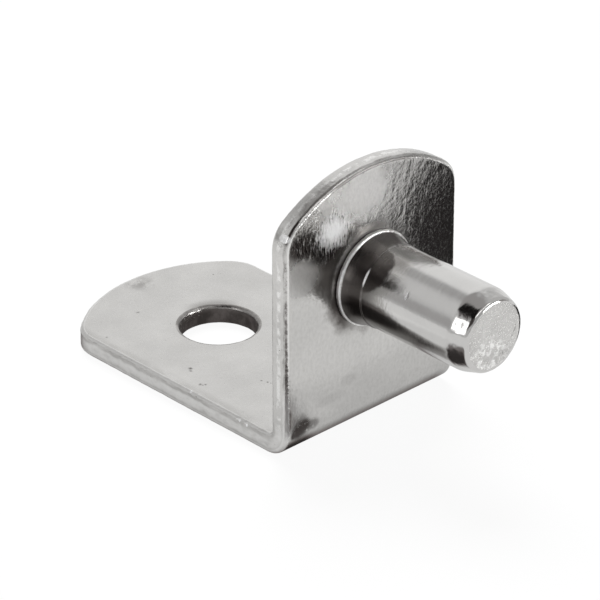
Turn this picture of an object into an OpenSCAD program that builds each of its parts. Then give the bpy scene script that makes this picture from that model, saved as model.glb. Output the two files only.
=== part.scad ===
// Riveted angle shelf support
// A folded sheet-steel angle with a solid pin for a cabinet's side. The level leg carries the
// shelf and has a hole for a screw. The pin's tenon is riveted over inside the upright leg.
// Frame: origin on the pin's axis, in the face that meets the cabinet's side,
// +X along the pin into that side, +Z up. All sizes are in millimetres.

/* [Sheet] */
// Width of both legs
plate_w = 16; // [12:0.5:24]
// Thickness of the sheet
sheet_t = 1.5; // [1:0.1:2.5]
// Radius of the sheet's rolled edges
edge_r = 0.3; // [0.1:0.05:0.45]
// Radius inside the bend
bend_r = 0.5; // [0.2:0.1:1.5]

/* [Upright leg] */
// Height of the upright leg, from the underside to the top of its arc
upright_h = 19.8; // [18:0.1:30]
// Rise of the arc across its top, from corner to middle
upright_rise = 3; // [1.5:0.1:5]
// Radius of its top corners
upright_corner_r = 2.4; // [0.8:0.1:4]

/* [Level leg] */
// Length of the level leg, from the outer face to the middle of its arc
level_l = 24.9; // [22:0.1:45]
// Rise of the arc across its end, from corner to middle
level_rise = 3.7; // [1.5:0.1:5]
// Radius of its end corners
level_corner_r = 2.8; // [0.8:0.1:4]

/* [Screw hole] */
// Diameter of the screw hole
screw_d = 5.5; // [2.5:0.1:6.5]
// Distance from the outer face to the hole's centre
screw_x = 15.4; // [10:0.1:17]

/* [Pin] */
// Diameter of the shank
pin_d = 6; // [4.5:0.1:7]
// Length from the outer face to the flat end
pin_l = 11.4; // [7:0.1:20]
// Height of the pin's axis above the underside
pin_h = 11.3; // [8:0.1:13]
// Length of the coned tip
tip_l = 1.4; // [0.6:0.1:2.5]
// How much the cone narrows, measured across
tip_taper = 0.8; // [0.2:0.1:1.6]
// Radius of the rim round the flat end
tip_rim_r = 0.25; // [0.1:0.05:0.4]

/* [Pin foot] */
// How far the collar stands out from the shank all round
collar_w = 0.45; // [0.2:0.05:0.8]
// Thickness of the collar
collar_t = 0.35; // [0.2:0.05:0.8]
// Distance from the outer face to the small end of the flare
flare_l = 1.9; // [1.2:0.1:3]
// Height of the step from the flare down to the shank
flare_step = 0.05; // [0.02:0.01:0.1]

/* [Rivet] */
// Diameter of the tenon through the sheet
tenon_d = 4; // [2.5:0.1:4.4]
// Diameter of the head inside the upright leg
head_d = 5.6; // [4.6:0.1:7]
// Height of that head
head_h = 0.5; // [0.2:0.05:1]

/* [Hidden] */
$fn = 96;
// Steps along each small arc of a turned profile
arc_steps = 8;
// Step that worked-out angles and places are rounded to
grain = 0.001;
// How far a cutter reaches past the sheet
clear = 1;
half_w = plate_w / 2;
bend_outer_r = bend_r + sheet_t;
shank_r = pin_d / 2;
underside_z = -pin_h;

// Points on an arc between two angles
function arc(centre, r, from, to) =
    [for (i = [0:arc_steps])
        let (a = from + (to - from) * i / arc_steps) centre + r * [cos(a), sin(a)]];

// Radius of the circle that rises by h over a half chord of c
function rise_r(c, h) = (c * c + h * h) / (2 * h);

// The nearest whole number of grains
function snap(v) = round(v / grain) * grain;

// A move made as a rounded one and its small remainder, so that tangent sweeps meet exactly
module place(v) {
    coarse = [for (c = v) snap(c)];
    translate(coarse) translate(v - coarse) children();
}

// Section of the sheet from a rolled edge at x = 'reach' back towards the middle
module edge_section(reach, depth) {
    place([reach, 0]) mirror([1, 0]) {
        translate([edge_r, 0]) square([depth - edge_r, sheet_t]);
        translate([0, edge_r]) square([depth, sheet_t - 2 * edge_r]);
        for (y = [edge_r, sheet_t - edge_r])
            translate([edge_r, y]) circle(edge_r);
    }
}

// Section right across a leg
module strip_section() {
    for (side = [0, 1]) mirror([side, 0]) edge_section(half_w, half_w);
}

// Block buried in the sheet that ties sweeps which only meet face to face
module key(around) {
    translate([0, 0, sheet_t / 2]) cube([around.x, around.y, sheet_t] / 3, center = true);
}

// A leg lying flat along +Y, from the bend to its arched end
module leg(length, rise, corner_r) {
    corner_x = half_w - corner_r;
    turn = snap(acos(corner_x / (rise_r(half_w, rise) - corner_r)));
    shoulder = corner_x * tan(turn);
    arch_r = corner_r + corner_x / cos(turn);
    corner_y = snap(length - arch_r + shoulder);

    translate([0, corner_y, 0]) rotate([90, 0, 0])
        linear_extrude(corner_y - bend_outer_r) strip_section();
    for (side = [0, 1]) mirror([side, 0, 0]) translate([corner_x, corner_y, 0]) {
        rotate_extrude(angle = turn) edge_section(corner_r, corner_r);
        key([corner_r, corner_r]);
    }
    place([0, corner_y - shoulder, 0]) rotate_extrude(start = turn, angle = 180 - 2 * turn)
        edge_section(arch_r, arch_r - shoulder + edge_r);
    translate([0, bend_outer_r, 0]) key([plate_w, sheet_t]);
}

// Quarter turn of the sheet between the two legs
module bend() {
    rotate([90, 0, 0]) rotate_extrude(angle = -90)
        translate([bend_outer_r, 0]) rotate(90) strip_section();
}

// Cutter for a hole whose rims are rolled like the sheet's edges
module rolled_hole(d) {
    rim_x = d / 2 + edge_r;
    rotate_extrude() difference() {
        translate([0, -clear]) square([rim_x, sheet_t + 2 * clear]);
        translate([d / 2, edge_r]) square([2 * edge_r, sheet_t - 2 * edge_r]);
        for (y = [edge_r, sheet_t - edge_r])
            translate([rim_x, y]) circle(edge_r);
    }
}

// Turned profile of the pin: x is the radius, y runs along the axis
module pin_profile() {
    foot_r = shank_r + flare_step;
    collar_r = shank_r + collar_w;
    lip_r = min(collar_t, collar_w) / 3;
    head_r = head_d / 2;
    cap_r = rise_r(head_r, head_h);
    flare_r = rise_r(flare_l - collar_t, collar_r - lip_r - foot_r);
    flare_turn = asin((flare_l - collar_t) / flare_r);
    cone = atan(tip_taper / 2 / tip_l);
    rim_x = shank_r - tip_taper / 2 - tip_rim_r * tan((90 - cone) / 2);
    polygon(concat(
        arc([0, cap_r - sheet_t - head_h], cap_r, -90, asin(head_r / cap_r) - 90),
        [[tenon_d / 2, -sheet_t], [tenon_d / 2, 0]],
        arc([collar_r - lip_r, lip_r], lip_r, -90, 0),
        arc([collar_r - lip_r, collar_t - lip_r], lip_r, 0, 90),
        arc([foot_r + flare_r, flare_l], flare_r, 180 + flare_turn, 180),
        [[shank_r, flare_l + flare_step], [shank_r, pin_l - tip_l]],
        arc([rim_x, pin_l - tip_rim_r], tip_rim_r, cone, 90),
        [[0, pin_l]]));
}

module angle_plate() {
    color([0.78, 0.77, 0.75]) difference() {
        translate([0, 0, underside_z]) {
            rotate([90, 0, 90]) translate([0, 0, -sheet_t])
                leg(upright_h, upright_rise, upright_corner_r);
            rotate([0, 0, 90]) leg(level_l, level_rise, level_corner_r);
            translate([-bend_outer_r, 0, bend_outer_r]) bend();
        }
        translate([-screw_x, 0, underside_z]) rolled_hole(screw_d);
        translate([-sheet_t - clear, 0, 0]) rotate([0, 90, 0])
            cylinder(h = sheet_t + 2 * clear, d = tenon_d);
    }
}

module support_pin() {
    color([0.82, 0.81, 0.79]) rotate([0, 90, 0]) rotate_extrude() pin_profile();
}

angle_plate();
support_pin();
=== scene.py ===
from math import acos, asin, atan, ceil, cos, hypot, pi, radians, sin, sqrt, tan

import bmesh
import bpy
import numpy as np
from mathutils import Matrix, Vector
from mathutils.geometry import delaunay_2d_cdt


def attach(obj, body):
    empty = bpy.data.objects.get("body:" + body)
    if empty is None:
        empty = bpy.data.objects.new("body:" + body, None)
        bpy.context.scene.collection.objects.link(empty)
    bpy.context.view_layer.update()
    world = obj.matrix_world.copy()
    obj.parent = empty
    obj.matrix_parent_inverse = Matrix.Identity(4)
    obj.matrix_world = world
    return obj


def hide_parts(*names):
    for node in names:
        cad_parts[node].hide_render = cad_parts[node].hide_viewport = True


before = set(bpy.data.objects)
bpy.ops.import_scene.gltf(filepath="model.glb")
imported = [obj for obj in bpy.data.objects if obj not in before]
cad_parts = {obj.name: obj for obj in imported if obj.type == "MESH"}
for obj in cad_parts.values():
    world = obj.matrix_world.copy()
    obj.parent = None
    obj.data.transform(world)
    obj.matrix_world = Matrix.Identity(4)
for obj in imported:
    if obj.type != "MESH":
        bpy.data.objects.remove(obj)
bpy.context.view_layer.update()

scene = bpy.context.scene

# ----------------------------------------------------------------
# Sizes, in millimetres: the driving sizes of the part's source, in the same frame

MM = 0.001
PLATE_W = 16
SHEET_T = 1.5
EDGE_R = 0.3
BEND_R = 0.5
UPRIGHT_H, UPRIGHT_RISE, UPRIGHT_CORNER_R = 19.8, 3, 2.4
LEVEL_L, LEVEL_RISE, LEVEL_CORNER_R = 24.9, 3.7, 2.8
SCREW_R = 2.75
SCREW_X = 15.4
SHANK_R = 3
PIN_L = 11.4
PIN_H = 11.3
TIP_L, TIP_TAPER, TIP_RIM_R = 1.4, 0.8, 0.25
COLLAR_W, COLLAR_T = 0.45, 0.35
FLARE_L, FLARE_STEP = 1.9, 0.05
TENON_R = 2
HEAD_R, HEAD_H = 2.8, 0.5

HALF_W = PLATE_W / 2
BEND_OUTER_R = BEND_R + SHEET_T
UNDERSIDE_Z = -PIN_H
LEVEL_TOP_Z = UNDERSIDE_Z + SHEET_T
# Length that the bend takes in the flat blank
BEND_RUN = pi / 2 * (BEND_R + SHEET_T / 2)


def rise_r(chord, height):
    """Radius of the circle that rises by height over a half chord."""
    return (chord * chord + height * height) / (2 * height)


# ----------------------------------------------------------------
# Noise: the same on every run

# Odd factors that stir a lattice point's place and its seed into a hash
PLACE_STIR = np.array([374761393, 668265263, 1440670441])
SEED_STIR, LAST_STIR = 144664507, 1274126177
WORD, HALF_WORD = 0xFFFFFFFF, 0xFFFF
# How far apart the octaves are drawn, so that their lattices don't line up
OCTAVE_SHIFT = 31.7


def lattice(i, seed):
    """A value in -1..1 for each lattice point i (n, 3)."""
    h = (i @ PLACE_STIR + seed * SEED_STIR) & WORD
    h = ((h ^ (h >> 13)) * LAST_STIR) & WORD
    return ((h ^ (h >> 16)) & HALF_WORD) / (HALF_WORD / 2) - 1


def noise(p, seed):
    """Smooth value noise in -1..1 at points p (n, 3), one lattice cell to a unit."""
    cell = np.floor(p).astype(np.int64)
    f = p - cell
    f = f * f * f * (f * (f * 6 - 15) + 10)
    total = np.zeros(len(p))
    for corner in np.ndindex(2, 2, 2):
        weight = np.prod(np.where(corner, f, 1 - f), axis=1)
        total += weight * lattice(cell + corner, seed)
    return total


def waves(p, size, seed, octaves=2, gain=0.5):
    """Noise over several octaves; size is the first one's cell along each axis."""
    total, weight, size = np.zeros(len(p)), 1.0, np.asarray(size, float)
    for octave in range(octaves):
        total += weight * noise(p / size + OCTAVE_SHIFT * octave, seed + octave)
        weight, size = weight * gain, size / 2
    return total


def uneven(p, height, *kind):
    """Unevenness of one kind, in mm: its height, then what waves() takes."""
    return height * waves(p, *kind)


def hump(distance, width):
    return np.exp(-(distance / width) ** 2)


# ----------------------------------------------------------------
# Angle plate: a flat blank in (s, y), then bent. s runs along the sheet from the middle of the
# bend, below zero on the level leg. t is the depth from the outer surface.

# Length of a step along the outline, and steps round the holes, over a roll and down the wall between two rolls
OUTLINE_STEP = 0.15
SCREW_STEPS, TENON_STEPS = 144, 96
ROLL_STEPS, WALL_STEPS = 9, 8
# Steps of the skins' grids along the sheet: in the bend, on the two faces that show, and on the others
BEND_STEP, FRONT_STEP, TOP_STEP, PLAIN_STEP = 0.14, 0.11, 0.16, 0.3
# Steps across the sheet, outside and inside
OUTER_ACROSS, INNER_ACROSS = 0.125, 0.2
# Room between a grid and the rolls round it, and how near two points are one
GRID_GAP = 0.14
SAME_POINT = 1e-7
# Sides of a grid's cell: the way to its neighbour there, and the side's corners
CELL_SIDES = (((0, -1), (0, 0), (1, 0)), ((0, 1), (0, 1), (1, 1)), ((-1, 0), (0, 0), (0, 1)), ((1, 0), (1, 0), (1, 1)))


def leg_end(length, rise, corner_r):
    """A leg's outline from its right side to its middle: rows of (along, across, inward along, inward across)."""
    corner_x = HALF_W - corner_r
    turn = acos(corner_x / (rise_r(HALF_W, rise) - corner_r))
    shoulder = corner_x * tan(turn)
    arch_r = corner_r + corner_x / cos(turn)
    corner_y = length - arch_r + shoulder
    straight = corner_y - BEND_OUTER_R
    steps = ceil(straight / OUTLINE_STEP)
    rows = [(BEND_OUTER_R + straight * i / steps, HALF_W, 0, -1) for i in range(1, steps)]
    corner = ((corner_y, corner_x), corner_r, 0, turn)
    arch = ((corner_y - shoulder, 0), arch_r, turn, pi / 2)
    for centre, r, a0, a1 in (corner, arch):
        steps = ceil((a1 - a0) * r / OUTLINE_STEP)
        for i in range(steps):
            a = a0 + (a1 - a0) * i / steps
            rows.append((centre[0] + r * sin(a), centre[1] + r * cos(a), -sin(a), -cos(a)))
    rows.append((length, 0, -1, 0))
    return rows


def blank_outline():
    """Whole outline of the blank, counter-clockwise: rows of (s, y, inward s, inward y)."""
    up = leg_end(UPRIGHT_H, UPRIGHT_RISE, UPRIGHT_CORNER_R)
    level = leg_end(LEVEL_L, LEVEL_RISE, LEVEL_CORNER_R)
    to_s = BEND_RUN / 2 - BEND_OUTER_R
    steps = ceil(BEND_RUN / OUTLINE_STEP)
    half = [(-(a + to_s), -c, -na, -nc) for a, c, na, nc in level][::-1]
    half += [(BEND_RUN * (i / steps - 0.5), -HALF_W, 0, 1) for i in range(steps + 1)]
    half += [(a + to_s, -c, na, -nc) for a, c, na, nc in up]
    mirrored = [(s, -y, ns, -ny) for s, y, ns, ny in half[1:-1]][::-1]
    return np.array(half + mirrored, float)


def circle_rows(centre_s, r, count):
    a = np.arange(count) * 2 * pi / count
    return np.stack([centre_s + r * np.cos(a), r * np.sin(a), np.cos(a), np.sin(a)], -1)


OUTLINE = blank_outline()
BLANK_LOW, BLANK_HIGH = OUTLINE[:, 0].min(), OUTLINE[:, 0].max()
# Centres of the two holes along the blank
SCREW_S = -(SCREW_X - BEND_OUTER_R + BEND_RUN / 2)
TENON_S = PIN_H - BEND_OUTER_R + BEND_RUN / 2
# The holes in the skins: centre, radius past the roll, and steps. The tenon's hole has no roll
SKIN_HOLES = ((SCREW_S, SCREW_R + EDGE_R, SCREW_STEPS), (TENON_S, TENON_R, TENON_STEPS))


def bend_points(s, y, t):
    """Blank to part frame: places in mm, outward directions of the outer surface, and the running direction."""
    turn = np.clip(s / BEND_RUN + 0.5, 0, 1) * pi / 2
    out = np.stack([np.sin(turn), 0 * turn, -np.cos(turn)], -1)
    run = np.stack([np.cos(turn), 0 * turn, np.sin(turn)], -1)
    centre = np.array([-BEND_OUTER_R, 0, UNDERSIDE_Z + BEND_OUTER_R])
    at = centre + out * (BEND_OUTER_R - t)[..., None]
    at[..., 0] += np.minimum(s + BEND_RUN / 2, 0)
    at[..., 2] += np.maximum(s - BEND_RUN / 2, 0)
    at[..., 1] += y
    return at, out, run


def ring_at(rows, inset):
    return rows[:, :2] + rows[:, 2:] * inset


class Blank:
    """Collects blank points (s, y, t), with the direction that each faces, and faces with their zone."""

    def __init__(self):
        self.points, self.facing, self.faces, self.zones = [], [], [], []
        self.count = 0

    def add(self, sy, t, facing):
        """Points at one depth; returns their numbers."""
        self.points.append(np.column_stack([sy, np.full(len(sy), t)]))
        self.facing.append(np.broadcast_to(facing, (len(sy), 3)))
        self.count += len(sy)
        return np.arange(self.count - len(sy), self.count)

    def quads(self, a, b, c, d, zone):
        self.faces.append(np.stack([a, b, c, d], -1))
        self.zones.append(np.full(len(a), zone))

    def tris(self, corners, zone):
        self.faces.append(np.column_stack([corners, np.full(len(corners), -1)]))
        self.zones.append(np.full(len(corners), zone))


def wall(blank, rows, zone):
    """Rolled edge round one outline, from the outer surface to the inner one. Returns its first and last ring."""
    turns = [i / ROLL_STEPS * pi / 2 for i in range(ROLL_STEPS + 1)]
    # Each ring's inset and depth, and its share of facing into the depth and outwards
    profile = [(EDGE_R * (1 - sin(a)), EDGE_R * (1 - cos(a)), -cos(a), sin(a)) for a in turns[:-1]]
    profile += [(0, EDGE_R + (SHEET_T - 2 * EDGE_R) * i / WALL_STEPS, 0, 1) for i in range(WALL_STEPS)]
    profile += [(EDGE_R * (1 - cos(a)), SHEET_T - EDGE_R * (1 - sin(a)), sin(a), cos(a)) for a in turns]
    rings = []
    for inset, t, depth, outward in profile:
        facing = np.column_stack([-rows[:, 2:] * outward, np.full(len(rows), depth)])
        rings.append(blank.add(ring_at(rows, inset), t, facing))
    for a, b in zip(rings, rings[1:]):
        blank.quads(a, np.roll(a, -1), np.roll(b, -1), b, zone)
    return rings[0], rings[-1]


def outline_inset(sy):
    """How far inside the blank's outline each point lies, roughly, as the distance to its nearest outline row."""
    nearest = np.full(len(sy), np.inf)
    for row in OUTLINE[:, :2]:
        nearest = np.minimum(nearest, np.hypot(*(sy - row).T))
    lower = OUTLINE[OUTLINE[:, 1] <= 0]
    reach = -np.interp(sy[:, 0], lower[:, 0], lower[:, 1])
    inside = (np.abs(sy[:, 1]) < reach) & (sy[:, 0] > BLANK_LOW) & (sy[:, 0] < BLANK_HIGH)
    return np.where(inside, nearest, -nearest)


def skin(blank, t, facing, rings, s_lines, y_lines, zone_of):
    """Fills one surface of the sheet inside the rings: a grid of quads, and triangles from it to the rings."""
    grid_s, grid_y = np.meshgrid(s_lines, y_lines, indexing="ij")
    sy = np.column_stack([grid_s.ravel(), grid_y.ravel()])
    keep = outline_inset(sy) > EDGE_R + GRID_GAP
    for centre, r, _ in SKIN_HOLES:
        keep &= np.hypot(sy[:, 0] - centre, sy[:, 1]) > r + GRID_GAP
    keep = keep.reshape(grid_s.shape)
    number = np.full(grid_s.shape, -1)
    number[keep] = blank.add(sy[keep.ravel()], t, facing)
    whole = keep[:-1, :-1] & keep[1:, :-1] & keep[:-1, 1:] & keep[1:, 1:]
    cells = np.stack([number[:-1, :-1], number[1:, :-1], number[1:, 1:], number[:-1, 1:]], -1)[whole]
    zones = zone_of((grid_s[:-1, :-1] + grid_s[1:, 1:])[whole] / 2)
    for zone in np.unique(zones):
        blank.quads(*cells[zones == zone].T, zone)

    # The band between the grid's whole cells and the rings: its points, then its edges
    around = np.zeros(grid_s.shape, int)
    for i, j in np.ndindex(2, 2):
        around[i:grid_s.shape[0] - 1 + i, j:grid_s.shape[1] - 1 + j] += whole
    border = keep & (around < 4)
    ids = np.concatenate([number[border], *(ring for ring, _ in rings)])
    coords = np.concatenate([np.column_stack([grid_s[border], grid_y[border]]), *(at for _, at in rings)])
    edges, start = [], int(border.sum())
    for ring, _ in rings:
        edges += [(start + i, start + (i + 1) % len(ring)) for i in range(len(ring))]
        start += len(ring)
    local = {g: i for i, g in enumerate(ids)}
    padded = np.pad(whole, 1)
    for i, j in np.argwhere(whole):
        for (di, dj), p, q in CELL_SIDES:
            if not padded[i + 1 + di, j + 1 + dj]:
                edges.append((local[number[i + p[0], j + p[1]]], local[number[i + q[0], j + q[1]]]))
    made, _, tri, origin, _, _ = delaunay_2d_cdt([Vector(c) for c in coords], edges, [], 0, SAME_POINT)
    tri = np.array(tri)
    mid = np.array([tuple(v) for v in made])[tri].mean(1)

    # Triangles on whole cells and in the holes are left out
    cell_i = np.clip(np.searchsorted(s_lines, mid[:, 0]) - 1, 0, len(s_lines) - 2)
    cell_j = np.clip(np.searchsorted(y_lines, mid[:, 1]) - 1, 0, len(y_lines) - 2)
    in_grid = ((mid > (s_lines[0], y_lines[0])) & (mid < (s_lines[-1], y_lines[-1]))).all(1)
    drop = whole[cell_i, cell_j] & in_grid
    for centre, r, steps in SKIN_HOLES:
        drop |= np.hypot(mid[:, 0] - centre, mid[:, 1]) < r * cos(pi / steps)
    tri = ids[[o[0] for o in origin]][tri[~drop]]
    zones = zone_of(mid[~drop, 0])
    for zone in np.unique(zones):
        blank.tris(tri[zones == zone], zone)


def lines(start, end, step):
    return np.linspace(start, end, max(2, round((end - start) / step) + 1))


# Zones of the plate, which are its material slots
INNER, FRONT, UNDER, EDGE, HOLE = range(5)


def build_blank():
    blank = Blank()
    # The holes' rims run the other way round, so that their faces look inward
    screw = circle_rows(SCREW_S, SCREW_R, SCREW_STEPS)[::-1]
    tenon_at = circle_rows(TENON_S, TENON_R, TENON_STEPS)[::-1, :2]
    outer_edge, inner_edge = wall(blank, OUTLINE, EDGE)
    outer_screw, inner_screw = wall(blank, screw, HOLE)
    outer_tenon = blank.add(tenon_at, 0, (0, 0, -1))
    inner_tenon = blank.add(tenon_at, SHEET_T, (0, 0, 1))
    blank.quads(outer_tenon, np.roll(outer_tenon, -1), np.roll(inner_tenon, -1), inner_tenon, HOLE)
    edge_at, screw_at = ring_at(OUTLINE, EDGE_R), ring_at(screw, EDGE_R)
    seam = BEND_RUN / 2
    bend = lines(-seam, seam, BEND_STEP)
    outer_s = np.concatenate([lines(BLANK_LOW, -seam, PLAIN_STEP)[:-1], bend, lines(seam, BLANK_HIGH, FRONT_STEP)[1:]])
    inner_s = np.concatenate([lines(BLANK_LOW, -seam, TOP_STEP)[:-1], bend, lines(seam, BLANK_HIGH, PLAIN_STEP)[1:]])
    skin(blank, 0, (0, 0, -1), [(outer_edge, edge_at), (outer_screw, screw_at), (outer_tenon, tenon_at)],
         outer_s, lines(-HALF_W, HALF_W, OUTER_ACROSS), lambda s: np.where(s > -seam, FRONT, UNDER))
    skin(blank, SHEET_T, (0, 0, 1), [(inner_edge, edge_at), (inner_screw, screw_at), (inner_tenon, tenon_at)],
         inner_s, lines(-HALF_W, HALF_W, INNER_ACROSS), lambda s: np.full(len(s), INNER))
    return blank


def in_scene(name, data):
    obj = bpy.data.objects.new(name, data)
    scene.collection.objects.link(obj)
    return obj


def mesh_object(name, places, faces, zones, materials, **layers):
    """A closed smooth mesh from places in mm. Faces hold three or four corners, and a missing fourth is -1."""
    mesh = bpy.data.meshes.new(name)
    rows = [tuple(int(v) for v in f if v >= 0) for f in faces]
    mesh.from_pydata([tuple(v) for v in places * MM], [], rows)
    for material in materials:
        mesh.materials.append(material)
    mesh.polygons.foreach_set("material_index", np.asarray(zones, np.int32))
    mesh.polygons.foreach_set("use_smooth", np.ones(len(rows), bool))
    for layer, values in layers.items():
        mesh.attributes.new(layer, "FLOAT", "POINT").data.foreach_set("value", np.asarray(values, np.float32))
    mesh.validate()
    # All faces look outwards
    solid = bmesh.new()
    solid.from_mesh(mesh)
    bmesh.ops.recalc_face_normals(solid, faces=solid.faces)
    solid.to_mesh(mesh)
    solid.free()
    mesh.update()
    return in_scene(name, mesh)


# Kinds of unevenness: height in mm, size of the cells, seed, octaves and gain
PEEL = (0.0026, (0.5, 0.44, 1), 11)
SWELL = (0.006, (5, 3.4, 1), 17)
SCUFFING = (0.005, (0.62, 0.34, 1), 13, 2, 0.6)
SOFTNESS = (0.0015, (1.3, 1.3, 1.3), 23, 3)
BEADS = (0.012, (0.42, 0.42, 0.36), 29, 2, 0.6)
LUMPS = (0.012, (1.6, 1.6, 1.6), 31)
CREST_SWAY = (0.08, (1.4, 1.4, 1), 37, 1)
RIDGE_LUMPS = (0.03, (0.4, 0.4, 0.3), 38)
CREASES = (0.01, (0.3, 0.3, 0.9), 39)
# Scuffed spots of the upright's outer face: y, z, width and share
SCUFFS = [(-6.4, 4.9, 1.5, 1), (-5.2, 2.2, 1, 0.5)]
# How deep and how wide the sheet dips round the collar
DISH_DEPTH, DISH_W = 0.02, 0.7
# The ridge along the upright's wall: the depth of its middle, its plain height and its width
RIDGE_DEPTH, RIDGE_H, RIDGE_W = 0.72, 0.018, 0.2
# Where along the blank the upright's edge starts, and how softly
EDGE_START, EDGE_CHANGE = -0.2, 0.8
# Half the turn of the worn flat along the middle of the outer roll
ROLL_FLAT = radians(16)
# Nicks along the near side: place, width and depth
NICKS = [
    ((-4.71, -8, -9.95), 0.2, 0.09),
    ((-3.92, -8, -9.98), 0.18, 0.08),
    ((-1.1, -8, 1.4), 0.2, 0.05),
    ((-13.2, -8, -10.1), 0.2, 0.05),
    ((-18.6, -8, -10.4), 0.22, 0.05),
    ((-0.35, -8, -3.1), 0.24, 0.06),
    ((-0.4, -8, -7.4), 0.2, 0.05),
]


def plate_relief(at, face, blank, facing):
    """How far each point stands out of the plain shape, along its own normal, in mm."""
    s, y, t = blank.T
    z = at[:, 2]
    sheet = np.column_stack([s, y, 0 * s])
    front = np.clip(face[:, 0], 0, 1) ** 4 * (s > 0)
    edge = np.hypot(facing[:, 0], facing[:, 1])
    upright = np.clip((s - EDGE_START) / EDGE_CHANGE, 0, 1)
    # Orange peel on the polished outer face, coarser where it was scuffed at the upper left
    scuffed = sum(share * hump(np.hypot(y - y0, z - z0), width) for y0, z0, width, share in SCUFFS)
    peel = uneven(sheet, *PEEL) + uneven(sheet, *SWELL) + scuffed * uneven(sheet, *SCUFFING)
    # The sheet dips a little round the pin's collar
    from_collar = np.maximum(np.hypot(at[:, 1], z) - SHANK_R - COLLAR_W, 0)
    dish = -DISH_DEPTH * hump(from_collar, DISH_W)
    # Sheared and tumbled edges: beads all round, the ridge on the upright and creases on the level leg
    beads = uneven(at, *BEADS) + uneven(at, *LUMPS)
    crest = RIDGE_DEPTH + uneven(sheet, *CREST_SWAY)
    ridge = upright * hump(t - crest, RIDGE_W) * (RIDGE_H + uneven(at, *RIDGE_LUMPS))
    creases = (1 - upright) * uneven(blank, *CREASES)
    total = front * (peel + dish) + (1 - front) * uneven(at, *SOFTNESS) + edge * (beads + ridge + creases)
    # The outer roll's middle is worn flat
    middle = (edge - facing[:, 2]) / sqrt(2)
    total += np.where(middle > cos(ROLL_FLAT), EDGE_R * (cos(ROLL_FLAT) / np.maximum(middle, 0.5) - 1), 0)
    for place, width, depth in NICKS:
        total -= depth * hump(np.linalg.norm(at - np.array(place), axis=1), width)
    return total


def build_plate(materials):
    blank = build_blank()
    points = np.concatenate(blank.points)
    facing = np.concatenate(blank.facing)
    at, out, run = bend_points(*points.T)
    normal = run * facing[:, :1] - out * facing[:, 2:]
    normal[:, 1] += facing[:, 1]
    normal /= np.linalg.norm(normal, axis=1)[:, None]
    at = at + normal * plate_relief(at, normal, points, facing)[:, None]
    faces, zones = np.concatenate(blank.faces), np.concatenate(blank.zones)
    return mesh_object("angle_plate_skin", at, faces, zones, materials, depth=points[:, 2])


# ----------------------------------------------------------------
# Pin: a fine lathe of the turned profile

TURNS = 288
# Length of a step on each run of the profile, and steps on its arcs
SEAT_STEP, TENON_STEP, LIP_STEP, FOOT_STEP, SHANK_STEP, CONE_STEP, END_STEP = 0.2, 0.25, 0.04, 0.03, 0.09, 0.07, 0.075
CAP_ARC, INNER_LIP_ARC, OUTER_LIP_ARC, FLARE_ARC, SHOULDER_ARC, RIM_ARC = 40, 6, 8, 26, 9, 9
# How softly the shank turns into the cone, and the tip's rim once rubbed
SHOULDER_R = 1.5
WORN_RIM_R = TIP_RIM_R + 0.17
# Where the end face's rings stop and a fan closes it
FAN_R = 0.05


def arc_rows(cx, cr, r, a0, a1, steps):
    """Profile points (x along the axis, radius) on an arc, with outward normals. Angles are from the radius to +X."""
    angles = (a0 + (a1 - a0) * i / steps for i in range(steps + 1))
    return [(cx + r * sin(a), cr + r * cos(a), sin(a), cos(a)) for a in angles]


def run_rows(x0, r0, x1, r1, step):
    """Profile points along a straight run, with outward normals."""
    length = hypot(x1 - x0, r1 - r0)
    steps = max(1, ceil(length / step))
    n = ((r0 - r1) / length, (x1 - x0) / length)
    return [(x0 + (x1 - x0) * i / steps, r0 + (r1 - r0) * i / steps, *n) for i in range(steps + 1)]


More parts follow.
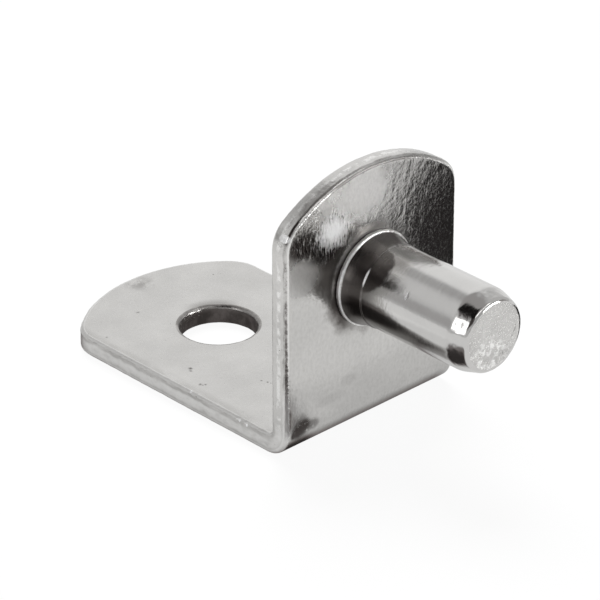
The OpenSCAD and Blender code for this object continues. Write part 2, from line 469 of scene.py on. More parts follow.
def pin_profile():
    """Runs of profile rows from the head to the tip. A hard corner is where one run ends and the next begins."""
    cap_r = rise_r(HEAD_R, HEAD_H)
    cap_x = cap_r - SHEET_T - HEAD_H
    cap_turns = (asin(HEAD_R / cap_r) * i / CAP_ARC for i in range(1, CAP_ARC + 1))
    head = [(cap_x - cap_r * cos(a), cap_r * sin(a), -cos(a), sin(a)) for a in cap_turns]
    seat = run_rows(-SHEET_T, HEAD_R, -SHEET_T, TENON_R, SEAT_STEP)
    tenon = run_rows(-SHEET_T, TENON_R, 0, TENON_R, TENON_STEP)

    # The collar's two lips and the flare, which bows inward
    collar_r = SHANK_R + COLLAR_W
    foot_r = SHANK_R + FLARE_STEP
    lip_r = min(COLLAR_T, COLLAR_W) / 3
    back = run_rows(0, TENON_R, 0, collar_r - lip_r, SEAT_STEP)
    collar = arc_rows(lip_r, collar_r - lip_r, lip_r, -pi / 2, 0, INNER_LIP_ARC)
    collar += run_rows(lip_r, collar_r, COLLAR_T - lip_r, collar_r, LIP_STEP)[1:]
    collar += arc_rows(COLLAR_T - lip_r, collar_r - lip_r, lip_r, 0, pi / 2, OUTER_LIP_ARC)[1:]
    flare_r = rise_r(FLARE_L - COLLAR_T, collar_r - lip_r - foot_r)
    flare_turns = [asin((FLARE_L - COLLAR_T) / flare_r) * (1 - i / FLARE_ARC) for i in range(FLARE_ARC + 1)]
    flare = [(FLARE_L - flare_r * sin(a), foot_r + flare_r - flare_r * cos(a), sin(a), cos(a)) for a in flare_turns]
    foot = run_rows(FLARE_L, foot_r, FLARE_L + FLARE_STEP, SHANK_R, FOOT_STEP)

    cone = atan(TIP_TAPER / 2 / TIP_L)
    rim_r = SHANK_R - TIP_TAPER / 2 - WORN_RIM_R * tan((pi / 2 - cone) / 2)
    shoulder_x = PIN_L - TIP_L - SHOULDER_R * tan(cone / 2)
    shank = run_rows(FLARE_L + FLARE_STEP, SHANK_R, shoulder_x, SHANK_R, SHANK_STEP)
    shank += arc_rows(shoulder_x, SHANK_R - SHOULDER_R, SHOULDER_R, 0, cone, SHOULDER_ARC)[1:]
    cone_end = (PIN_L - WORN_RIM_R * (1 - sin(cone)), rim_r + WORN_RIM_R * cos(cone))
    shank += run_rows(*shank[-1][:2], *cone_end, CONE_STEP)[1:]
    shank += arc_rows(PIN_L - WORN_RIM_R, rim_r, WORN_RIM_R, cone, pi / 2, RIM_ARC)[1:]
    shank += run_rows(PIN_L, rim_r, PIN_L, FAN_R, END_STEP)[1:]
    return [head, seat, tenon, back, collar + flare[1:], foot, shank]


# Zones of the pin, which are its material slots, and how many of the profile's runs are head
PIN_HEAD, PIN_SHANK, PIN_END = range(3)
HEAD_RUNS = 3

# Kinds of unevenness, as on the plate
TURNING = (0.0016, (0.45, 1.2, 1.2), 41, 2, 0.6)
WAVER = (0.002, (2.2, 0.9, 0.9), 42)
COLLAR_LUMPS = (0.024, (0.5, 0.24, 0.24), 43)
TIP_LUMPS = (0.022, (0.6, 0.5, 0.5), 47, 2, 0.6)
PITS = ((1, 0.5, 0.55), 53)
BREAK_SWAY = (0.16, (0.9, 0.9, 0.9), 59)
SCORES = (0.03, (0.34, 0.34, 0.34), 61)
# How rough the end face is everywhere, how much more it is low down, and the share of that higher up
END_ROUGH, END_ROUGHER, LEAST_ROUGH = 0.006, 0.022, 0.05
# Where the pin broke off: middle in y and z, radius, how soft its edge is, and how far the ring round it lies back
BREAK_Y, BREAK_Z, BREAK_R, BREAK_SOFT, RING_DEPTH = 0.3, 0.35, 1.62, 0.18, 0.05
# A nick on the shank: along the pin, angle round it, depth and width
NICK_X, NICK_TURN, NICK_DEPTH, NICK_W = 5.7, 2.55, 0.012, 0.2


def pin_relief(at, face):
    """How far each point stands out of the turned shape, along its own normal, in mm."""
    x, y, z = at.T
    off = np.hypot(y, z)
    # Turning marks run round the shank, and the collar and the tip are lumpy
    side = np.clip(1 - face[:, 0] ** 2, 0, 1)
    relief = side * (uneven(at, *TURNING) + uneven(at, *WAVER))
    collar = (x > 0.01) & (x < COLLAR_T + 0.05) & (off > SHANK_R + 0.2)
    relief += collar * uneven(at, *COLLAR_LUMPS)
    tip = np.clip((x - (PIN_L - TIP_L + 0.2)) / 0.3, 0, 1) * np.clip(off / 2 - 0.9, 0, 1)
    relief += tip * uneven(at, *TIP_LUMPS)
    # Broken face: rough and pitted in its lower half, smoother above
    end = np.clip(face[:, 0], 0, 1) ** 6 * (x > PIN_L - 0.1)
    lower = np.clip(0.5 - 0.36 * z - 0.1 * y, LEAST_ROUGH, 1)
    relief += end * (END_ROUGH + END_ROUGHER * lower) * waves(at, *PITS)
    # The middle broke off a little higher, and the sheared ring round it is scored outward
    from_break = np.hypot(y - BREAK_Y, z - BREAK_Z) + uneven(at, *BREAK_SWAY)
    ringed = np.clip((from_break - BREAK_R) / BREAK_SOFT, 0, 1)
    outward = np.column_stack([2 * np.arctan2(z - BREAK_Z, y - BREAK_Y), 0.35 * from_break, 0 * x])
    relief += end * lower * ringed * (uneven(outward, *SCORES) - RING_DEPTH)
    around = (np.arctan2(z, y) - NICK_TURN) * SHANK_R
    relief -= NICK_DEPTH * hump(np.hypot(2 * (x - NICK_X), 0.7 * around), NICK_W)
    return relief


def build_pin(materials):
    angle = np.arange(TURNS) * 2 * pi / TURNS
    circle = np.stack([0 * angle, np.cos(angle), np.sin(angle)], -1)
    # Each ring's row and its run. A corner's ring is shared, so the skin stays closed
    rings = [(row, k) for k, run in enumerate(pin_profile()) for row in run[min(k, 1):]]
    places = [np.array([x, 0, 0]) + circle * r for (x, r, _, _), _ in rings]
    normals = [np.array([nx, 0, 0]) + circle * nr for (_, _, nx, nr), _ in rings]
    places.append([[-SHEET_T - HEAD_H, 0, 0], [PIN_L, 0, 0]])
    normals.append([[-1, 0, 0], [1, 0, 0]])
    places, normals = np.concatenate(places), np.concatenate(normals)
    normals /= np.linalg.norm(normals, axis=1)[:, None]

    ids = np.arange(len(rings) * TURNS).reshape(-1, TURNS)
    around = np.roll(ids, -1, axis=1)
    faces, zones = [], []
    for i, ((x, _, _, _), k) in enumerate(rings[1:]):
        faces.append(np.stack([ids[i], around[i], around[i + 1], ids[i + 1]], -1))
        zones.append(np.full(TURNS, PIN_END if x > PIN_L - SAME_POINT else PIN_HEAD if k < HEAD_RUNS else PIN_SHANK))
    for ring, middle, zone in ((0, ids.size, PIN_HEAD), (-1, ids.size + 1, PIN_END)):
        faces.append(np.stack([ids[ring], around[ring], np.full(TURNS, middle), np.full(TURNS, -1)], -1))
        zones.append(np.full(TURNS, zone))
    places = places + normals * pin_relief(places, normals)[:, None]
    return mesh_object("support_pin_skin", places, np.concatenate(faces), np.concatenate(zones), materials)


# ----------------------------------------------------------------
# Materials

# A stretch that is none
EVEN = (1, 1, 1)


class Nodes:
    """Short way to write a node tree."""

    def __init__(self, owner):
        owner.use_nodes = True
        self.tree = owner.node_tree
        self.tree.nodes.clear()

    def add(self, kind, values=None, **settings):
        """A shader node with values or sockets on its inputs."""
        node = self.tree.nodes.new("ShaderNode" + kind)
        for name, value in settings.items():
            setattr(node, name, value)
        for name, value in (values or {}).items():
            socket = node.inputs[name]
            if isinstance(value, bpy.types.NodeSocket):
                self.tree.links.new(value, socket)
            else:
                socket.default_value = value
        return node

    def math(self, operation, a, b=0.0, c=0.0):
        return self.add("Math", {0: a, 1: b, 2: c}, operation=operation).outputs[0]

    def times(self, value, *shares):
        for share in shares:
            value = self.math("MULTIPLY", value, share)
        return value

    def ramp(self, value, *stops):
        node = self.add("ValToRGB", {"Fac": value})
        elements = node.color_ramp.elements
        for element, (at, level) in zip(elements, stops):
            element.position = at
            element.color = (level, level, level, 1) if isinstance(level, (int, float)) else (*level, 1)
        return node.outputs["Color"]

    def mapped(self, value, low, high, start=0.0, end=1.0, kind="LINEAR"):
        """start up to low and end from high on, with an even change between them."""
        values = {0: value, 1: low, 2: high, 3: start, 4: end}
        return self.add("MapRange", values, interpolation_type=kind).outputs[0]

    def eased(self, value, low, high, start=0.0, end=1.0):
        """The same, with a soft change between them."""
        return self.mapped(value, low, high, start, end, "SMOOTHSTEP")

    def falling(self, value, near, far):
        """1 up to near, falling softly to 0 at far."""
        return self.eased(value, near, far, 1.0, 0.0)

    def noise(self, vector, scale, detail=3.0, roughness=0.5):
        values = {"Vector": vector, "Scale": scale, "Detail": detail, "Roughness": roughness}
        return self.add("TexNoise", values).outputs["Fac"]

    def stretched(self, vector, scale):
        if scale == EVEN:
            return vector
        return self.add("VectorMath", {0: vector, 1: scale}, operation="MULTIPLY").outputs["Vector"]

    def in_mm(self):
        """Where the surface is, in mm."""
        return self.stretched(self.add("TexCoord").outputs["Object"], (1 / MM, 1 / MM, 1 / MM))

    def blend(self, share, first, second):
        """The first shader, and the second one where the share is 1."""
        return self.add("MixShader", {0: share, 1: first, 2: second}).outputs[0]


class Metal(Nodes):
    """A plated metal under way: its tint and roughness as sockets that marks are laid on, and its bumps in a row."""

    def __init__(self, name, colour, rough, spread, grain, mottle=0.05):
        self.material = bpy.data.materials.new(name)
        super().__init__(self.material)
        self.mm = self.in_mm()
        light = tuple(min(1, c * (1 + mottle)) for c in colour)
        dark = tuple(c * (1 - mottle) for c in colour)
        self.tint = self.ramp(self.noise(self.mm, 0.3, 4.0), (0.35, dark), (0.65, light))
        self.rough = self.ramp(self.noise(self.mm, grain, 4.0, 0.6), (0.3, rough - spread), (0.7, rough + spread))
        self.normal = None

    def axes(self):
        return self.add("SeparateXYZ", {0: self.mm}).outputs

    def depth(self):
        """Depth in the sheet from its outer surface, in mm, which the plate's mesh carries."""
        return self.add("Attribute", attribute_name="depth").outputs["Fac"]

    def cloud(self, scale, detail=3.0, roughness=0.5, stretch=EVEN):
        """Noise of so many cells a millimetre."""
        return self.noise(self.stretched(self.mm, stretch), scale, detail, roughness)

    def swayed(self, value, reach, scale, detail, roughness=0.5, stretch=EVEN):
        """The value moved to and fro by noise."""
        cloud = self.cloud(scale, detail, roughness, stretch)
        return self.math("MULTIPLY_ADD", self.math("SUBTRACT", cloud, 0.5), reach, value)

    def distance_to(self, place, squash=EVEN):
        """Distance to a place, in mm, with each axis weighed by its squash."""
        offset = self.add("VectorMath", {0: self.mm, 1: place}, operation="SUBTRACT").outputs[0]
        offset = self.stretched(offset, squash)
        return self.add("VectorMath", {0: offset}, operation="LENGTH").outputs["Value"]

    def spot(self, place, near, far, squash=EVEN):
        """1 round a place, falling softly to 0."""
        return self.falling(self.distance_to(place, squash), near, far)

    def band(self, value, low, high, soft):
        """1 where the value lies between low and high."""
        below_low, below_high = (self.falling(value, at - soft / 2, at + soft / 2) for at in (low, high))
        return self.math("SUBTRACT", below_high, below_low)

    def blotched(self, mask, scale, low=0.35, high=0.6, stretch=EVEN):
        """The mask broken up by noise."""
        return self.times(mask, self.eased(self.cloud(scale, 4.0, 0.6, stretch), low, high))

    def specks(self, scale, most):
        """Sparse small dark pits."""
        cells = self.add("TexVoronoi", {"Vector": self.mm, "Scale": scale}, feature="F1")
        size = self.mapped(self.cloud(scale * 0.23, 1.0), 0.62, 0.8, 0.0, most)
        return self.mapped(self.math("SUBTRACT", cells.outputs["Distance"], size), 0.0, 0.08, 1.0, 0.0)

    def roughened(self, mask, rough):
        """Takes another roughness where the mask is 1."""
        values = {0: mask, 2: self.rough, 3: rough}
        self.rough = self.add("Mix", values, data_type="FLOAT").outputs[0]

    def stained(self, mask, share, colour, rough=None):
        """Lays a share of a colour, and of a roughness, where the mask is 1."""
        if share != 1:
            mask = self.times(mask, share)
        self.tint = self.add("Mix", {0: mask, 6: self.tint, 7: (*colour, 1)}, data_type="RGBA").outputs[2]
        if rough is not None:
            self.roughened(mask, rough)

    def flecked(self, scale, stretch, low, high, share, rough):
        """Small spots of another roughness, which blur what the metal mirrors."""
        self.roughened(self.eased(self.cloud(scale, 3.0, 0.6, stretch), low, high, 0.0, share), rough)

    def grained(self, scale, strength, height, stretch=EVEN, detail=3.0, roughness=0.55):
        """One more bump of noise, its height in mm."""
        cloud = self.cloud(scale, detail, roughness, stretch)
        values = {"Height": cloud, "Strength": strength, "Distance": height * MM}
        if self.normal is not None:
            values["Normal"] = self.normal
        self.normal = self.add("Bump", values).outputs["Normal"]

    def done(self):
        values = {"Base Color": self.tint, "Metallic": 1.0, "Roughness": self.rough, "Normal": self.normal}
        shader = self.add("BsdfPrincipled", values).outputs["BSDF"]
        self.add("OutputMaterial", {"Surface": shader})
        return self.material


SHEET_TONE = (0.61, 0.602, 0.587)
HOLE_TONE = (0.5, 0.485, 0.47)
PIN_TONE = (0.62, 0.612, 0.6)
PIN_END_TONE = (0.55, 0.543, 0.53)
# The dark and pale tones below serve real marks and also painted shade, sheen and highlights; the white one serves
# only painted highlights
SOOT_AND_SHADE = (0.075, 0.066, 0.062)
FOOT_SHADE_TONE = (0.13, 0.12, 0.115)
TARNISH_AND_SHADE = (0.2, 0.19, 0.18)
SATIN_SHEEN = (0.78, 0.77, 0.755)
BURNISHED_AND_SHEEN = (0.93, 0.925, 0.91)
PAINTED_HIGHLIGHT = (1, 1, 1)

# Dark specks on the level leg's top: place and radius
TOP_SPECKS = [
    ((-12.07, -5.73), 0.2),
    ((-11.8, -5.95), 0.13),
    ((-9.94, -6.73), 0.16),
    ((-9.7, -6.5), 0.1),
    ((-20.66, -3.02), 0.14),
    ((-19.42, -7.03), 0.12),
]
# Painted highlights on the level leg's near edge
EDGE_GLINTS = [(-4.7, -7.85, -10.0), (-3.95, -7.88, -10.05), (-9.7, -7.8, -9.85)]
# Painted shade on the upright by the fold, standing for a dark reflection: y, z, squash along each, reach and strength
FOLD_SHADES = [
    (-6.6, -9.15, 0.9, 1, 1.05, 0.95),
    (-6.25, -8.95, 0.9, 1.1, 0.6, 1),
    (-6.95, -9.3, 1, 0.9, 0.75, 1),
    (-7.35, -9.5, 1, 0.8, 0.3, 1),
    (-6.65, -8.5, 0.9, 1.1, 0.8, 0.35),
    (-5.5, -9.2, 0.9, 1.2, 0.7, 0.6),
    (-2.1, -7.05, 0.7, 1.4, 0.8, 0.14),
    (-3.9, -7.9, 0.5, 1.8, 1, 0.1),
]
# The way from the pin's axis to its painted dark streak, over the shank's radius
SHADE_STREAK_Y, SHADE_STREAK_Z = -0.3161, -0.1058


def satin_plating():
    m = Metal("satin_plating", SHEET_TONE, 0.3, 0.05, 7)
    far_end = m.spot((-23.8, 0, LEVEL_TOP_Z), 0.2, 1.5)
    m.stained(m.blotched(far_end, 1.3), 0.55, TARNISH_AND_SHADE)
    m.stained(m.specks(2.2, 0.16), 0.75, TARNISH_AND_SHADE, 0.5)
    for place, radius in TOP_SPECKS:
        off = m.math("MULTIPLY_ADD", m.cloud(5, 2.0), 0.25, m.distance_to((*place, LEVEL_TOP_Z)))
        m.stained(m.falling(off, radius * 0.6, radius + 0.16), 0.8, SOOT_AND_SHADE, 0.5)
    near_side = m.falling(m.axes()["Y"], -7.55, -6.9)
    m.stained(m.blotched(near_side, 0.9, 0.3, 0.6, (0.5, 1, 1)), 0.22, TARNISH_AND_SHADE)
    # Shade behind the hole's far rim, where the sheet was drawn in
    rim = m.spot((-SCREW_X, 0, LEVEL_TOP_Z), 3.05, 3.9)
    behind = m.spot((-SCREW_X - 2.6, 1.6, LEVEL_TOP_Z), 0.6, 2.0, (0.8, 0.8, 1))
    m.stained(m.times(rim, behind), 0.5, TARNISH_AND_SHADE)
    m.grained(3.2, 0.35, 0.03)
    m.grained(11, 0.5, 0.012)
    return m.done()


def bright_plating():
    m = Metal("bright_plating", SHEET_TONE, 0.1, 0.035, 4, 0.03)
    # Satin on its top, and painted paler there as a painted sheen; polished elsewhere
    middle = m.swayed(m.distance_to((0, -0.7, 6.8), (0, 0.75, 1)), 2.0, 0.8, 3.0)
    m.stained(m.falling(middle, 0.9, 2.6), 1, SATIN_SHEEN, 0.4)
    m.stained(m.spot((0, -4.9, 6.6), 0.4, 1.5, (0, 0.8, 1)), 1, SATIN_SHEEN, 0.4)
    m.stained(m.mapped(m.cloud(3.2, 3.0, 0.65, (1, 1.3, 0.9)), 0.4, 0.65, 0.0, 0.14), 1, TARNISH_AND_SHADE)
    # Scuffed at its upper left, with two painted dark reflections
    for place in ((0, -6.5, 4.6), (0, -4.7, 3.8)):
        spot = m.spot(place, 0.6, 1.6, (0, 0.75, 1.1))
        m.stained(m.blotched(spot, 1.6, 0.25, 0.5, (1, 2.2, 1)), 1, SOOT_AND_SHADE)
    scuffed = m.times(m.spot((0, -6.0, 5.7), 0.9, 2.1, (0, 0.7, 0.7)), 0.55)
    m.roughened(scuffed, 0.16)
    # Painted shade and dark reflection round the collar, with some tarnish, heavier to the left of it and below
    off = m.swayed(m.distance_to((0, 0, 0), (0, 1, 1)), 1.6, 0.9, 4.0, 0.6)
    pin_reflection_shade = m.spot((0, -3.4, -0.6), 0.8, 2.2, (0, 0.8, 0.5))
    clean = m.spot((0, -3.1, 4.3), 1.0, 1.9, (0, 1, 1))
    near = m.times(m.falling(off, 3.5, 4.2), m.math("MULTIPLY_ADD", clean, -0.5, 0.55))
    left = m.times(m.falling(off, 3.9, 4.8), pin_reflection_shade)
    m.stained(m.math("MAXIMUM", near, left), 0.9, TARNISH_AND_SHADE, 0.2)
    m.stained(m.times(m.falling(off, 3.55, 4.1), pin_reflection_shade), 0.9, SOOT_AND_SHADE, 0.3)
    # Shade above the collar, and a dull patch to the left of it
    above = m.spot((0, -0.7, 3.9), 0.6, 1.9, (0, 0.6, 1))
    m.stained(m.times(m.falling(off, 3.9, 4.6), above), 0.8, TARNISH_AND_SHADE, 0.45)
    m.roughened(m.spot((0, -6.5, 2.3), 0.8, 1.9, (0, 0.85, 0.9)), 0.36)
    # A painted highlight: a bright spot with a hairy rim
    hair = m.swayed(m.distance_to((0, -3.65, 4.65), (0, 0.85, 1.0)), 3.4, 2.2, 3.0, 0.75, (1, 3.2, 0.7))
    painted_glint = m.falling(hair, 0.2, 1.9)
    m.stained(painted_glint, 1, PAINTED_HIGHLIGHT, 0.68)
    # Painted shade by the fold
    for y, z, squash_y, squash_z, reach, share in FOLD_SHADES:
        spot = m.spot((0, y, z), 0.3 * reach, reach, (0, squash_y, squash_z))
        m.stained(m.blotched(spot, 2.4, 0.26, 0.46), share, SOOT_AND_SHADE, 0.3)
    m.flecked(4.2, (1, 1.4, 0.9), 0.45, 0.75, 0.45, 0.36)
    m.grained(2.0, 0.55, 0.02, (1, 1.1, 1.0), 3.0, 0.6)
    m.grained(1.1, 0.06, 0.02, (1, 2.2, 0.25), 2.0, 0.6)
    m.grained(3.6, 0.5, 0.01, (1, 1.2, 1), 3.0, 0.6)
    m.grained(0.8, m.math("MULTIPLY_ADD", painted_glint, 0.25, scuffed), 0.22, (1, 2.4, 1.0), 3.0, 0.7)
    return m.done()


def plain_plating(name, tone, rough, grain, specks, *bumps):
    """The plating of the sides that the photograph doesn't show."""
    m = Metal(name, tone, rough, 0.06, grain)
    m.stained(m.specks(*specks), 0.6, TARNISH_AND_SHADE, 0.5)
    for bump in bumps:
        m.grained(*bump)
    return m.done()


def edge_plating():
    m = Metal("rolled_edge_plating", SHEET_TONE, 0.2, 0.08, 5, 0.08)
    depth, height = m.depth(), m.axes()["Z"]
    sway = m.swayed(depth, 0.4, 0.9, 2.0)
    upright = m.mapped(height, -9.6, -8.4)
    level = m.math("SUBTRACT", 1.0, upright)
    # Burnished lumps along the ridge, and the rubbed front of the roll painted paler, partly a painted highlight
    crest = m.falling(m.math("ABSOLUTE", m.math("SUBTRACT", sway, RIDGE_DEPTH)), 0.06, 0.26)
    m.stained(m.blotched(m.times(crest, upright), 1.7, 0.43, 0.6), 0.7, BURNISHED_AND_SHEEN, 0.3)
    m.stained(m.times(m.band(depth, -0.1, 0.05, 0.04), upright), 0.55, BURNISHED_AND_SHEEN)
    # Dirt left beside the roll
    m.stained(m.times(m.blotched(m.band(sway, 0.14, 0.3, 0.08), 1.1, 0.3, 0.6), upright), 0.5, TARNISH_AND_SHADE, 0.35)
    # The roll is duller near the fold, and painted paler there as a painted sheen
    m.stained(m.times(m.falling(depth, 0.3, 0.4), m.falling(height, -7.0, -5.0)), 0.6, BURNISHED_AND_SHEEN, 0.5)
    # The level leg's edge is dull and pale, with dirt along its upper roll and a few painted highlights
    m.roughened(level, 0.36)
    m.stained(m.times(m.blotched(m.band(sway, 0.45, 1.1, 0.3), 1.6, 0.2, 0.6, (0.6, 1, 1)), level), 0.6, BURNISHED_AND_SHEEN)
    m.stained(m.times(m.band(depth, 1.34, 1.6, 0.08), level), 0.35, BURNISHED_AND_SHEEN)
    m.stained(m.times(m.blotched(m.band(sway, 1.12, 1.32, 0.1), 1.2, 0.3, 0.65, (0.5, 1, 1)), level), 0.3, TARNISH_AND_SHADE)
    for place in EDGE_GLINTS:
        m.stained(m.spot(place, 0.07, 0.14), 1, PAINTED_HIGHLIGHT, 0.3)
    # The arch is duller near the outer face, with a dark line painted along its roll as painted shade
    arch = m.times(m.mapped(height, 5.8, 7.2, 0.0, 0.45), m.falling(height, 7.7, 8.3))
    m.stained(m.falling(sway, 0.3, 1.3), arch, TARNISH_AND_SHADE)
    m.stained(m.falling(depth, 0.03, 0.11), m.mapped(height, 7.5, 7.9, 0.0, 0.75), SOOT_AND_SHADE, 0.5)
    # At the near corner, dirt beside the roll and a painted highlight on it
    corner = m.spot((-0.2, -7.3, 5.9), 0.7, 1.1, (0.5, 1, 1))
    m.stained(m.times(m.band(depth, 0.1, 0.26, 0.06), corner), 1, SOOT_AND_SHADE, 0.4)
    m.stained(m.spot((-0.42, -8, 5.5), 0.42, 0.56, (1.0, 0.6, 1.9)), 1, PAINTED_HIGHLIGHT, 0.3)
    m.stained(m.specks(3.2, 0.22), 0.6, TARNISH_AND_SHADE, 0.5)
    m.grained(2.6, 0.6, 0.04)
    m.grained(7, 0.5, 0.02)
    return m.done()


def bore_plating():
    m = Metal("hole_wall_plating", HOLE_TONE, 0.32, 0.08, 6)
    depth = m.depth()
    m.stained(m.blotched(m.falling(depth, 0.9, 1.35), 0.7, 0.3, 0.6, (1, 1, 0.8)), 1, TARNISH_AND_SHADE, 0.4)
    m.stained(m.blotched(m.band(depth, 1.1, 1.6, 0.2), 0.8), 0.6, TARNISH_AND_SHADE, 0.4)
    m.grained(3, 0.6, 0.04, (1, 1, 0.4))
    return m.done()


def pin_plating():
    m = Metal("pin_plating", PIN_TONE, 0.12, 0.04, 4, 0.03)
    x, y, z = m.axes()
    sway = m.swayed(x, 1.5, 1.3, 5.0, 0.65, (1, 0.7, 0.7))
    # The foot is darkened as painted shade and dark reflection: least on top, reaching furthest at its left and below
    past_collar = m.mapped(x, COLLAR_T - 0.05, COLLAR_T + 0.1)
    left = m.spot((2.4, -2.0, 2.2), 0.9, 1.9, (0.8, 1, 1))
    below = m.eased(z, -2.4, -0.6, 1.5, 0.0)
    reach = m.math("ADD", m.math("MULTIPLY_ADD", left, 1.5, 1.7), below)
    dark_foot_shade = m.falling(m.math("SUBTRACT", sway, reach), 0.0, 0.7)
    m.stained(m.times(dark_foot_shade, past_collar), 0.93, FOOT_SHADE_TONE, 0.22)
    # A painted dark reflection runs on along the lower left as a dull streak, narrower towards the tip
    lower_left = m.math("MULTIPLY_ADD", y, SHADE_STREAK_Y, m.times(z, SHADE_STREAK_Z))
    inside = m.math("SUBTRACT", lower_left, m.mapped(x, 3.0, 9.0, 0.957, 0.984))
    painted_streak = m.eased(inside, -0.008, 0.014, 0.0, 0.9)
    m.stained(painted_streak, m.falling(sway, 9.4, 10.8), TARNISH_AND_SHADE, 0.2)
    m.stained(m.times(painted_streak, m.falling(sway, 4.5, 7.0)), 0.35, SOOT_AND_SHADE)
    # Painted shade, darkest at the foot's left
    m.stained(m.times(dark_foot_shade, left), 0.95, SOOT_AND_SHADE, 0.3)
    crown = m.swayed(m.distance_to((2.7, -0.7, 2.9), (0.7, 1, 1)), 0.8, 1.6, 4.0, 0.6)
    m.stained(m.falling(crown, 0.7, 1.4), 0.5, TARNISH_AND_SHADE, 0.25)
    foot = m.spot((0.9, -3.0, 0.9), 1.0, 2.0, (0.7, 1, 0.8))
    m.stained(m.times(foot, past_collar), 0.7, SOOT_AND_SHADE)
    m.stained(m.specks(2.6, 0.16), 0.5, BURNISHED_AND_SHEEN, 0.3)
    # Painted highlights: on the step, and on a nick on the shank
    m.stained(m.spot((1.95, -2.56, 1.66), 0.4, 0.8, (8, 1, 1)), 1, PAINTED_HIGHLIGHT, 0.6)
    m.stained(m.spot((5.7, -2.49, 1.68), 0.1, 0.28, (2.5, 0.8, 0.8)), 1, PAINTED_HIGHLIGHT, 0.4)
    # The collar is rubbed pale and dull, partly a painted sheen, with a painted highlight at its upper left, and dirty
    # where it meets the plate
    collar = m.falling(x, COLLAR_T - 0.06, COLLAR_T + 0.06)
    m.stained(collar, 0.9, BURNISHED_AND_SHEEN, 0.42)
    collar_glint = m.spot((0.2, -2.9, 1.9), 1.6, 3.4)
    m.stained(m.blotched(m.times(collar, collar_glint), 3.2, 0.32, 0.5), 1, PAINTED_HIGHLIGHT, 0.6)
    m.stained(m.falling(x, 0.0, 0.05), 0.6, TARNISH_AND_SHADE)
    m.flecked(5, (1.6, 1, 1), 0.5, 0.8, 0.5, 0.32)
    m.grained(1.8, 0.35, 0.02, (2.2, 0.8, 0.8))
    m.grained(5, 0.4, 0.01, (2, 0.8, 0.8))
    return m.done()


def end_plating():
    m = Metal("pin_end_plating", PIN_END_TONE, 0.3, 0.1, 5, 0.08)
    lower = m.spot((PIN_L, -0.5, -1.5), 0.7, 1.9, (1, 0.75, 1))
    m.stained(m.blotched(lower, 2.0, 0.47, 0.62), 0.85, BURNISHED_AND_SHEEN, 0.35)
    m.grained(1.6, 0.3, 0.04)
    m.grained(5, 0.25, 0.02)
    return m.done()


under = plain_plating("underside_plating", SHEET_TONE, 0.27, 6, (1.8, 0.18), (2.2, 0.4, 0.03), (8, 0.4, 0.012))
plate = build_plate([satin_plating(), bright_plating(), under, edge_plating(), bore_plating()])
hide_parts("angle_plate")
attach(plate, "root")
head = plain_plating("rivet_head_plating", PIN_TONE, 0.26, 5, (2.4, 0.2), (2, 0.5, 0.04), (7, 0.4, 0.015))
pin = build_pin([head, pin_plating(), end_plating()])
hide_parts("support_pin")
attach(pin, "root")


# ----------------------------------------------------------------
# Stage: floor, world and lamp

# What shiny metal sees of the floor: its plain brightness, and patches of painted shadow and painted light by their
# middle in mm, turn in degrees, half length and half width, how soft their rim is, and brightness. Later patches lie
# over earlier
FLOOR_LEVEL = 0.87
FLOOR_PATCHES = [
    (-12, -22, 0, 14, 13, 5, 0.8),
    (-19, -26, 0, 7, 7, 6, 0.95),
    (17.8, 37.8, 59, 20, 11, 2.0, 0.015),
    (8.0, -13.9, -62, 11.2, 5.8, 4.0, 0.04),
    (10, -20, -62, 5, 7, 6, 0.22),
    (24, 17, 59, 6, 4, 5, 1.15),
    (2.5, 5, 0, 3.5, 6, 2.5, 0.74),
    (-11.5, -1, 0, 14.5, 10.3, 1.6, 0.7),
    (-12.5, 0, 0, 12.5, 8.1, 2.2, 0.17),
    (-0.9, -6.1, 0, 1.1, 1.4, 1.5, 0.04),
]
FLOOR_REACH, FLOOR_SIDES = 1500, 96
# The underside's own unevenness stays clear of the floor
FLOOR_GAP = 0.02
PAPER = (0.8, 0.8, 0.8, 1)
# How much of the floor is its own glow to the camera, and how much to what metal sends on. The rest is lit paper
FLOOR_SEEN, FLOOR_MIRRORED = 0.94, 0.99
# What it sees above the floor: the plain brightness, and patches by the azimuth and elevation of their middle, half
# width and half height, how soft their rim is, all in degrees, and brightness. Azimuth 0 is -Y and 90 is +X
STUDIO_LEVEL = 0.6
STUDIO_PATCHES = [
    (0, 90, 360, 38, 14, 0.4),
    (-135, 20, 24, 34, 16, 1.0),
    (178, 30, 26, 40, 18, 0.62),
    (143, 3, 17, 16, 10, 0.35),
    (93, 10, 32, 30, 8, 0.5),
    (-53, 40, 24, 13, 16, 0.74),
    (-45, 13, 22, 9, 8, 0.46),
    (30, 46, 34, 22, 8, 0.06),
    (4, 70, 46, 20, 6, 0.01),
    (98, 47, 36, 5, 5, 2.0),
    (124, 6, 9, 6, 4, 15.0),
    (-8, 24, 7, 15, 3, 2.2),
]
# Light that all but shiny metal gets from all round
STUDIO_FILL = 0.2
# Tint of the studio's darkest parts, and the brightness from which on it is plain
DUSK, DUSK_LEVEL, PLAIN_LEVEL = (1.0, 0.88, 0.86), 0.08, 0.5
WHITE = (1, 1, 1, 1)


def within(n, off, half, soft):
    """1 where the distance off is less than half, falling softly to 0 outside."""
    return n.falling(n.math("ABSOLUTE", off), half - soft / 2, half + soft / 2)


def patched(n, level, patches, inside):
    """A plain brightness that takes each patch's own where its share, from inside(), is 1."""
    for patch in patches:
        level = n.math("MULTIPLY_ADD", inside(patch), n.math("SUBTRACT", patch[-1], level), level)
    return level


def dusky(n, level):
    return n.ramp(level, (DUSK_LEVEL, DUSK), (PLAIN_LEVEL, WHITE[:3]))


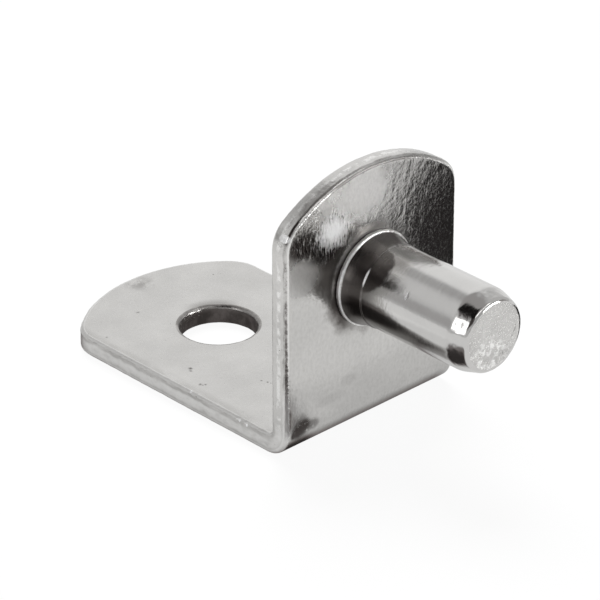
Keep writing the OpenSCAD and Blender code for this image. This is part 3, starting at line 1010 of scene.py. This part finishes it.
def build_floor():
    material = bpy.data.materials.new("pale_floor")
    n = Nodes(material)
    here = n.add("SeparateXYZ", {0: n.in_mm()}).outputs

    def inside(patch):
        x0, y0, turn, half_u, half_v, soft, _ = patch
        dx, dy = n.math("SUBTRACT", here["X"], x0), n.math("SUBTRACT", here["Y"], y0)
        c, s = cos(radians(turn)), sin(radians(turn))
        u = n.math("MULTIPLY_ADD", dx, c, n.times(dy, s))
        v = n.math("MULTIPLY_ADD", dx, -s, n.times(dy, c))
        return n.times(within(n, u, half_u, soft), within(n, v, half_v, soft))

    level = patched(n, FLOOR_LEVEL, FLOOR_PATCHES, inside)
    path = n.add("LightPath").outputs
    plain = n.math("MAXIMUM", path["Is Camera Ray"], path["Is Transmission Ray"])
    strength = n.math("MULTIPLY_ADD", plain, n.math("SUBTRACT", 1.0, level), level)
    paper = n.add("BsdfDiffuse", {"Color": PAPER}).outputs[0]
    glow = n.add("Emission", {"Color": dusky(n, strength), "Strength": strength}).outputs[0]
    sent_on = n.math("MAXIMUM", path["Is Glossy Ray"], path["Is Transmission Ray"])
    share = n.math("MULTIPLY_ADD", path["Is Camera Ray"], FLOOR_SEEN, n.times(sent_on, FLOOR_MIRRORED))
    n.add("OutputMaterial", {"Surface": n.blend(share, paper, glow)})

    turns = [2 * pi * i / FLOOR_SIDES for i in range(FLOOR_SIDES)]
    rim = [(FLOOR_REACH * cos(a), FLOOR_REACH * sin(a), UNDERSIDE_Z - FLOOR_GAP) for a in turns]
    mesh = bpy.data.meshes.new("stage_floor")
    mesh.from_pydata([tuple(c * MM for c in corner) for corner in rim], [], [range(FLOOR_SIDES)])
    mesh.materials.append(material)
    in_scene("stage_floor", mesh)


def build_world():
    world = bpy.data.worlds.new("studio")
    scene.world = world
    n = Nodes(world)
    way = n.add("SeparateXYZ", {0: n.add("TexCoord").outputs["Generated"]}).outputs
    azimuth = n.math("ARCTAN2", way["X"], n.times(way["Y"], -1.0))
    elevation = n.math("ARCSINE", way["Z"])

    def inside(patch):
        az, el, half_az, half_el, soft = (radians(v) for v in patch[:-1])
        aside = n.math("WRAP", n.math("SUBTRACT", azimuth, az), pi, -pi)
        above = n.math("SUBTRACT", elevation, el)
        return n.times(within(n, aside, half_az, soft), within(n, above, half_el, soft))

    level = patched(n, STUDIO_LEVEL, STUDIO_PATCHES, inside)
    path = n.add("LightPath").outputs
    fill, mirrored, plain = (n.add("Background", {"Color": colour, "Strength": strength}).outputs[0]
                             for colour, strength in ((WHITE, STUDIO_FILL), (dusky(n, level), level), (WHITE, 1.0)))
    lit = n.blend(path["Is Glossy Ray"], fill, mirrored)
    seen = n.math("MAXIMUM", path["Is Camera Ray"], path["Is Transmission Ray"])
    n.add("OutputWorld", {"Surface": n.blend(seen, lit, plain)})


def direction(azimuth, elevation):
    return Vector((sin(azimuth) * cos(elevation), -cos(azimuth) * cos(elevation), sin(elevation)))


def lamp(name, azimuth, elevation, distance, size, power):
    """A round soft lamp that shines at the part: distance and size in mm, power in watts."""
    data = bpy.data.lights.new(name, "AREA")
    data.shape = "DISK"
    data.size = size * MM
    data.energy = power
    obj = in_scene(name, data)
    way = direction(azimuth, elevation)
    obj.location = way * distance * MM
    obj.rotation_euler = (-way).to_track_quat("-Z", "Y").to_euler()
    # The studio above already shows in the metal
    obj.visible_glossy = False


build_floor()
build_world()
lamp("key", radians(-120), radians(58), 450, 260, 3.2)


# ----------------------------------------------------------------
# Camera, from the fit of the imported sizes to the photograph

AZIMUTH, ELEVATION = radians(46.3993), radians(28.562)
DISTANCE = 273.6
PIXELS_PER_MM = 14.7884
# A point of the upright's outer face, and where the photograph shows it
AIM = Vector((0, 0, -3.3))
AIM_PIXEL = (371.4643, 319.2833)
FRAME_PIXELS = 600
SENSOR = 36
NEAREST, FARTHEST = 10, 20000

back = direction(AZIMUTH, ELEVATION)
right = Vector((cos(AZIMUTH), sin(AZIMUTH), 0))
above = back.cross(right)
middle = (FRAME_PIXELS - 1) / 2
aside = (AIM_PIXEL[0] - middle) / PIXELS_PER_MM
higher = (middle - AIM_PIXEL[1]) / PIXELS_PER_MM
eye = AIM + back * DISTANCE - right * aside - above * higher
data = bpy.data.cameras.new("photo_camera")
data.sensor_width = SENSOR
data.lens = PIXELS_PER_MM * DISTANCE * SENSOR / FRAME_PIXELS
data.clip_start = NEAREST * MM
data.clip_end = FARTHEST * MM
camera = in_scene("photo_camera", data)
camera.matrix_world = Matrix.Translation(eye * MM) @ Matrix((right, above, back)).transposed().to_4x4()
scene.camera = camera
scene.view_settings.view_transform = "Standard"
